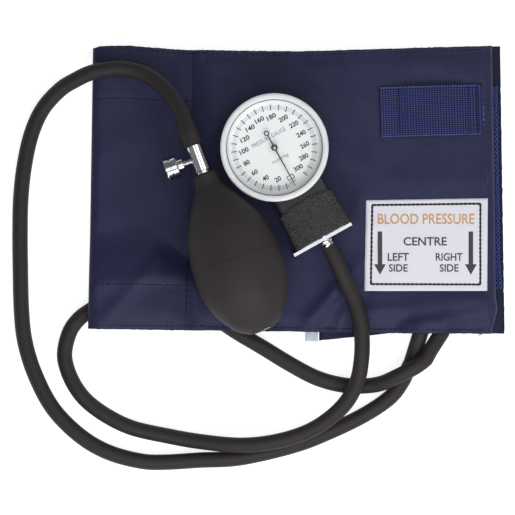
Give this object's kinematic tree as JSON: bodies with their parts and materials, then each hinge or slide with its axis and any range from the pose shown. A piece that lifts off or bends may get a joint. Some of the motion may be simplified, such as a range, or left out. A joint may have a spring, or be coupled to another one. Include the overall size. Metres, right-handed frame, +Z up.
{
  "type": "blood pressure cuff",
  "caption": "Folded cloth arm cuff with a round dial gauge, a squeeze bulb with a screw release valve, and rubber tubes lying in loops beside it.",
  "frame": {"origin": "centre of the underside of the folded cuff, on the surface it lies on", "axes": "+X along the folded cuff towards its right fold, +Y across it towards its top edge, +Z up out of the table"},
  "size_m": [0.2507, 0.2159, 0.0573],
  "materials": {
    "nylon_cover": "navy coated nylon, fine plain weave, slight sheen",
    "nylon_lining": "navy nylon, matt",
    "bladder_rubber": "matt dark grey",
    "loop_pile": "brushed loop pile",
    "hook_tape": "royal blue woven tape with hooks",
    "webbing": "royal blue ribbed webbing",
    "label_cloth": "pale smooth printed cloth",
    "tag_cloth": "pale blue-grey ribbon",
    "case_black": "smooth satin black",
    "grip_rubber": "black leather-grained rubber",
    "bezel_satin": "satin pale grey",
    "gasket_rubber": "matt black",
    "lens_clear": "clear",
    "dial_face": "matt white with a printed scale",
    "needle_black": "matt black",
    "brass_works": "turned brass",
    "steel_works": "turned steel",
    "chrome_fittings": "bright plated",
    "bulb_rubber": "matt warm dark grey moulded rubber",
    "tube_rubber": "matt warm dark grey rubber"
  },
  "bodies": {
    "cuff_set": {"outer_cover": "nylon_cover", "inner_lining": "nylon_lining", "bladder": "bladder_rubber", "bladder_port_bulb": "bladder_rubber", "bladder_port_gauge": "bladder_rubber", "loop_panel": "loop_pile", "hook_panel": "hook_tape", "gauge_strap": "webbing", "cuff_label": "label_cloth", "size_tag": "tag_cloth", "gauge_case": "case_black", "bezel_ring": "bezel_satin", "lens_gasket": "gasket_rubber", "lens": "lens_clear", "dial_plate": "dial_face", "capsule": "brass_works", "capsule_stem": "brass_works", "movement_plate_lower": "brass_works", "movement_plate_upper": "brass_works", "pillar_1": "brass_works", "pillar_2": "brass_works", "plate_screw_1": "steel_works", "plate_screw_2": "steel_works", "hairspring": "brass_works", "gauge_neck": "case_black", "grip_sleeve": "grip_rubber", "gauge_clip": "chrome_fittings", "gauge_nipple": "chrome_fittings", "inlet_pipe": "brass_works", "valve_body": "chrome_fittings", "outlet_seat": "brass_works", "outlet_spring": "steel_works", "inlet_valve_body": "chrome_fittings", "inlet_retainer": "brass_works", "gauge_tube": "tube_rubber", "bulb_tube": "tube_rubber"},
    "pointer": {"needle": "needle_black", "needle_hub": "brass_works", "pinion_arbor": "steel_works"},
    "sector": {"sector_gear": "brass_works"},
    "rocker": {"rocker_lever": "steel_works"},
    "push_rod": {"push_pin": "steel_works"},
    "squeeze_bulb": {"bulb": "bulb_rubber"},
    "release_screw": {"release_spindle": "chrome_fittings"},
    "release_grip": {"release_knob": "chrome_fittings"},
    "outlet_check": {"outlet_check_ball": "steel_works"},
    "inlet_check": {"inlet_check_disc": "gasket_rubber"}
  },
  "joints": [
    {"name": "needle_spin", "type": "hinge", "parent": "cuff_set", "child": "pointer", "pos_m": [-0.0113, 0.0228, 0.0306], "axis": [0, 0, -1], "range_deg": [0, 339]},
    {"name": "sector_turn", "type": "hinge", "parent": "cuff_set", "child": "sector", "pos_m": [-0.02389, 0.01582, 0.024], "axis": [0, 0, -1], "range_deg": [-42.4, 0]},
    {"name": "rocker_tilt", "type": "hinge", "parent": "cuff_set", "child": "rocker", "pos_m": [-0.00713, 0.01528, 0.0244], "axis": [0.8746, 0.4848, 0], "range_deg": [0, 17]},
    {"name": "push_rise", "type": "slide", "parent": "cuff_set", "child": "push_rod", "axis": [0, 0, 1], "range_m": [0, 0.0008], "stiffness_N_per_m": 100, "springref_m": -0.0005, "deforming": ["capsule", "hairspring"]},
    {"name": "bulb_squeeze", "type": "slide", "parent": "cuff_set", "child": "squeeze_bulb", "axis": [0, 0, -1], "range_m": [0, 0.014], "stiffness_N_per_m": 1200, "springref_m": -0.002, "deforming": ["bulb"]},
    {"name": "screw_travel", "type": "slide", "parent": "cuff_set", "child": "release_screw", "axis": [-0.9385, -0.3453, 0], "range_m": [-0.0007, 0.00105]},
    {"name": "knob_turn", "type": "hinge", "parent": "release_screw", "child": "release_grip", "pos_m": [-0.04958, 0.01724, 0.02967], "axis": [-0.9385, -0.3453, 0], "range_deg": [-360, 540]},
    {"name": "outlet_lift", "type": "slide", "parent": "cuff_set", "child": "outlet_check", "axis": [-0.3442, 0.9356, -0.0785], "range_m": [0, 0.001], "stiffness_N_per_m": 20, "springref_m": -0.001, "deforming": ["outlet_spring"]},
    {"name": "inlet_lift", "type": "slide", "parent": "cuff_set", "child": "inlet_check", "axis": [-0.3442, 0.9356, -0.0785], "range_m": [0, 0.0008], "stiffness_N_per_m": 20, "springref_m": -0.001}
  ],
  "couplings": [
    {"joint": "needle_spin", "follows": "push_rise", "rad_per_m": 7395},
    {"joint": "sector_turn", "follows": "push_rise", "rad_per_m": -924.38},
    {"joint": "rocker_tilt", "follows": "push_rise", "rad_per_m": 369.75},
    {"joint": "knob_turn", "follows": "screw_travel", "rad_per_m": 8975}
  ]
}
